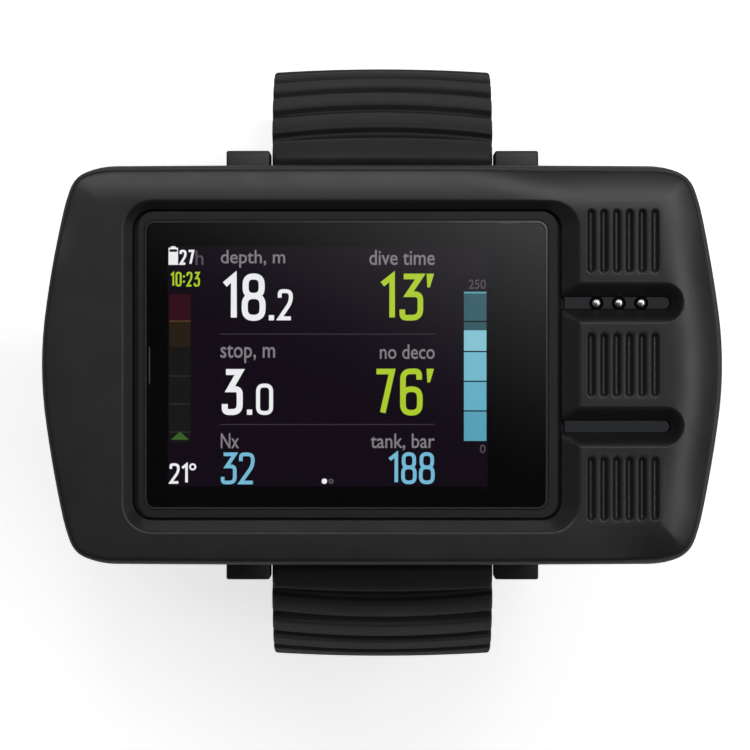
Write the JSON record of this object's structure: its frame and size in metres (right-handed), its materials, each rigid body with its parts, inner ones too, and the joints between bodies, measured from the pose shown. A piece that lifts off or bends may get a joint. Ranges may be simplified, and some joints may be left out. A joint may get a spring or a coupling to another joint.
{
  "type": "dive computer",
  "caption": "Wide wrist-worn dive computer with a recessed colour display, ribbed push pads beside it, charging contacts in a slot, and a ribbed rubber strap with a pin buckle.",
  "frame": {"origin": "centre of the bounding box's base, on the surface that the strap loop stands on", "axes": "+X to the wearer's right across the display, towards the push pads; +Y up the display; +Z out of the display"},
  "size_m": [0.105, 0.0944, 0.0777],
  "materials": {
    "shell": "satin black moulded reinforced plastic, fine spark texture",
    "strap": "matt black moulded elastomer",
    "glass": "polished mineral glass with a black border print",
    "surround": "satin black",
    "screen": "lit colour display, dark purple ground",
    "steel": "passivated stainless steel",
    "seal": "moulded seal rubber",
    "board": "circuit board with green resist",
    "cell": "plain metal foil and can",
    "foam": "grey closed-cell foam",
    "frame_plastic": "dark grey moulded plastic",
    "part_blue": "satin blue-black plastic"
  },
  "bodies": {
    "case": {"back_case": "shell", "backlight_unit": "cell", "bar_screw_bottom_left": "steel", "bar_screw_bottom_right": "steel", "bar_screw_top_left": "steel", "bar_screw_top_right": "steel", "battery": "cell", "battery_foam": "foam", "bezel_shell": "shell", "button_board": "board", "button_seal_lower": "seal", "button_seal_middle": "seal", "button_seal_upper": "seal", "buzzer": "frame_plastic", "case_screw_bottom_left": "steel", "case_screw_bottom_right": "steel", "case_screw_top_left": "steel", "case_screw_top_right": "steel", "case_seal": "seal", "contact_block": "part_blue", "contact_pin_1": "steel", "contact_pin_2": "steel", "contact_pin_3": "steel", "display_flex": "part_blue", "display_glass": "glass", "glass_surround": "surround", "inner_chassis": "frame_plastic", "key_switch_lower": "cell", "key_switch_middle": "cell", "key_switch_upper": "cell", "lcd_panel": "screen", "main_board": "board", "pressure_port_cover": "shell", "pressure_sensor": "steel", "radio_antenna": "part_blue", "sensor_seal": "seal", "slot_insert": "part_blue", "strap_bar_bottom": "steel", "strap_bar_top": "steel"},
    "button_upper": {"button_upper": "shell", "button_clip_upper": "steel"},
    "button_middle": {"button_middle": "shell", "button_clip_middle": "steel"},
    "button_lower": {"button_lower": "shell", "button_clip_lower": "steel"},
    "strap_buckle": {"strap_buckle_half": "strap", "keeper_fixed": "strap"},
    "keeper_loose": {"keeper_sliding": "strap"},
    "buckle": {"buckle_frame": "steel", "buckle_bar": "steel"},
    "tongue": {"buckle_tongue": "steel"},
    "strap_hole": {"strap_hole_half": "strap"}
  },
  "joints": [
    {"name": "button_upper_press", "type": "slide", "parent": "case", "child": "button_upper", "axis": [0, 0, -1], "range_m": [0, 0.0008], "stiffness_N_per_m": 1200},
    {"name": "button_middle_press", "type": "slide", "parent": "case", "child": "button_middle", "axis": [0, 0, -1], "range_m": [0, 0.0008], "stiffness_N_per_m": 1200},
    {"name": "button_lower_press", "type": "slide", "parent": "case", "child": "button_lower", "axis": [0, 0, -1], "range_m": [0, 0.0008], "stiffness_N_per_m": 1200},
    {"name": "strap_buckle_swing", "type": "hinge", "parent": "case", "child": "strap_buckle", "pos_m": [0, 0.0299, 0.0576], "axis": [1, 0, 0], "range_deg": [0, 50]},
    {"name": "strap_hole_swing", "type": "hinge", "parent": "case", "child": "strap_hole", "pos_m": [0, -0.0309, 0.0576], "axis": [-1, 0, 0], "range_deg": [0, 50]},
    {"name": "keeper_slide", "type": "hinge", "parent": "strap_buckle", "child": "keeper_loose", "pos_m": [0, 0.0172, 0.03], "axis": [1, 0, 0], "range_deg": [-2, 4]},
    {"name": "buckle_frame_swing", "type": "hinge", "parent": "strap_buckle", "child": "buckle", "pos_m": [0, 0.015, 0.0017], "axis": [-1, 0, 0], "range_deg": [0, 80]},
    {"name": "buckle_tongue_swing", "type": "hinge", "parent": "buckle", "child": "tongue", "pos_m": [0, 0.015, 0.0017], "axis": [-1, 0, 0], "range_deg": [0, 45]}
  ]
}
